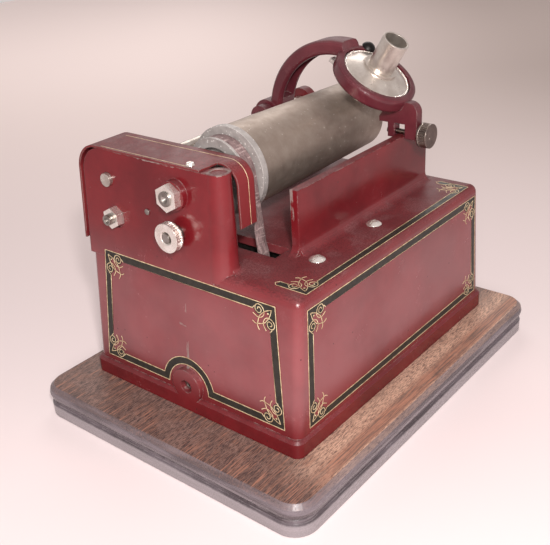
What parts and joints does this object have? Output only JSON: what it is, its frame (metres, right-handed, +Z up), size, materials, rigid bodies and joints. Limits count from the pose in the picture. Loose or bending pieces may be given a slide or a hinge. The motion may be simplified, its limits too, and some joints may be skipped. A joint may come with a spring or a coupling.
{
  "type": "cylinder phonograph",
  "caption": "Spring-wound table cylinder phonograph: enamelled cast case on an oak board, tapered mandrel, belt drive, sliding carriage with reproducer.",
  "frame": {"origin": "bottom centre of the base board", "axes": "+X along the long front to the free end of the mandrel, +Y to the back, +Z up"},
  "size_m": [0.254, 0.196, 0.2008],
  "materials": {
    "oak": "satin",
    "enamel": "gloss",
    "nickel": "polished",
    "steel": "satin",
    "cast_grey": "matte",
    "brass": "satin",
    "belt_leather": "worn",
    "black_screw": "satin",
    "gasket_rubber": "matte"
  },
  "bodies": {
    "frame": {"base_board": "oak", "base_screws": "steel", "case_casting": "enamel", "gear_cover": "enamel", "gear_cover_screw": "nickel", "column_pin": "nickel", "mandrel_bearing_screw": "steel", "mandrel_lock_nut": "nickel", "feed_pivot_screws": "steel", "feed_lock_nuts": "nickel", "back_rod": "steel", "idler_link": "steel", "idler_stud": "steel", "change_stud": "steel", "drive_belt": "belt_leather", "motor_plate_left": "steel", "motor_plate_right": "steel", "motor_pillars": "steel", "pillar_nuts": "steel", "motor_hangers": "cast_grey", "motor_screws": "nickel", "ratchet_pawl": "steel"},
    "mandrel": {"mandrel": "nickel", "mandrel_pulley": "cast_grey", "mandrel_shaft": "steel", "mandrel_gear": "brass"},
    "idler": {"idler_gear": "brass"},
    "feed": {"feed_screw": "steel", "feed_gear": "brass"},
    "drive": {"drive_shaft": "steel", "drive_pulley": "brass", "governor_wheel": "brass"},
    "second": {"second_shaft": "steel", "second_wheel": "brass"},
    "barrel": {"spring_barrel": "brass", "great_wheel": "brass", "barrel_cover": "brass", "mainspring": "steel"},
    "governor": {"governor_shaft": "steel", "governor_weights": "brass"},
    "winding": {"winding_shaft": "steel"},
    "arbor": {"spring_arbor": "steel"},
    "brake": {"brake_lever": "steel", "brake_pad": "belt_leather"},
    "thumb_nut": {"change_thumb_nut": "nickel"},
    "carriage": {"carriage_sleeve": "enamel"},
    "arm": {"carriage_arm": "enamel", "feed_nut": "brass", "feed_nut_spring": "nickel", "feed_nut_screws": "nickel", "clamp_screw": "black_screw", "reproducer_cover": "nickel", "reproducer_body": "nickel", "gaskets": "gasket_rubber", "diaphragm": "brass", "diaphragm_link": "steel", "weight_hinge_pin": "steel"},
    "lift": {"lift_screw": "nickel"},
    "weight": {"floating_weight": "nickel", "stylus_bar": "steel"}
  },
  "joints": [
    {"name": "mandrel_spin", "type": "hinge", "parent": "frame", "child": "mandrel", "pos_m": [0, 0.007, 0.1443], "axis": [1, 0, 0], "continuous": true},
    {"name": "idler_spin", "type": "hinge", "parent": "frame", "child": "idler", "pos_m": [0, 0.029, 0.1303], "axis": [1, 0, 0], "continuous": true},
    {"name": "feed_screw_spin", "type": "hinge", "parent": "frame", "child": "feed", "pos_m": [0, 0.054, 0.1225], "axis": [1, 0, 0], "continuous": true},
    {"name": "drive_shaft_spin", "type": "hinge", "parent": "frame", "child": "drive", "pos_m": [0, -0.008, 0.06], "axis": [1, 0, 0], "continuous": true},
    {"name": "second_shaft_spin", "type": "hinge", "parent": "frame", "child": "second", "pos_m": [0, 0.00154, 0.08084], "axis": [1, 0, 0], "continuous": true},
    {"name": "barrel_spin", "type": "hinge", "parent": "frame", "child": "barrel", "pos_m": [0, 0.034, 0.059], "axis": [1, 0, 0], "continuous": true},
    {"name": "governor_spin", "type": "hinge", "parent": "frame", "child": "governor", "pos_m": [0, -0.03067, 0.05175], "axis": [1, 0, 0], "continuous": true},
    {"name": "winding_turn", "type": "hinge", "parent": "frame", "child": "winding", "pos_m": [0, 0.004, 0.035], "axis": [1, 0, 0], "range_deg": [0, 5400]},
    {"name": "arbor_turn", "type": "hinge", "parent": "frame", "child": "arbor", "pos_m": [0, 0.034, 0.059], "axis": [1, 0, 0], "range_deg": [-1440, 0]},
    {"name": "brake_swing", "type": "hinge", "parent": "frame", "child": "brake", "pos_m": [0.0335, -0.04866, 0.04475], "axis": [0, 0, 1], "range_deg": [0, 6]},
    {"name": "thumb_nut_turn", "type": "hinge", "parent": "frame", "child": "thumb_nut", "pos_m": [0, 0.007, 0.1236], "axis": [1, 0, 0], "continuous": true},
    {"name": "carriage_slide", "type": "slide", "parent": "frame", "child": "carriage", "axis": [1, 0, 0], "range_m": [-0.095, 0.011]},
    {"name": "arm_lift", "type": "hinge", "parent": "carriage", "child": "arm", "pos_m": [0.0615, 0.059, 0.1425], "axis": [-1, 0, 0], "range_deg": [0, 70]},
    {"name": "lift_screw_turn", "type": "hinge", "parent": "arm", "child": "lift", "pos_m": [0.0615, -0.044, 0.1437], "axis": [0, 1, 0], "continuous": true},
    {"name": "weight_swing", "type": "hinge", "parent": "arm", "child": "weight", "pos_m": [0.0615, -0.00097, 0.17609], "axis": [-1, 0, 0], "range_deg": [0, 4]}
  ],
  "couplings": [
    {"joint": "idler_spin", "follows": "mandrel_spin", "ratio": -1},
    {"joint": "feed_screw_spin", "follows": "mandrel_spin", "ratio": 1},
    {"joint": "drive_shaft_spin", "follows": "mandrel_spin", "ratio": 1.48},
    {"joint": "second_shaft_spin", "follows": "mandrel_spin", "ratio": -0.39467},
    {"joint": "barrel_spin", "follows": "mandrel_spin", "ratio": 0.071758},
    {"joint": "governor_spin", "follows": "mandrel_spin", "ratio": -5.92},
    {"joint": "arbor_turn", "follows": "winding_turn", "ratio": -0.26667}
  ]
}
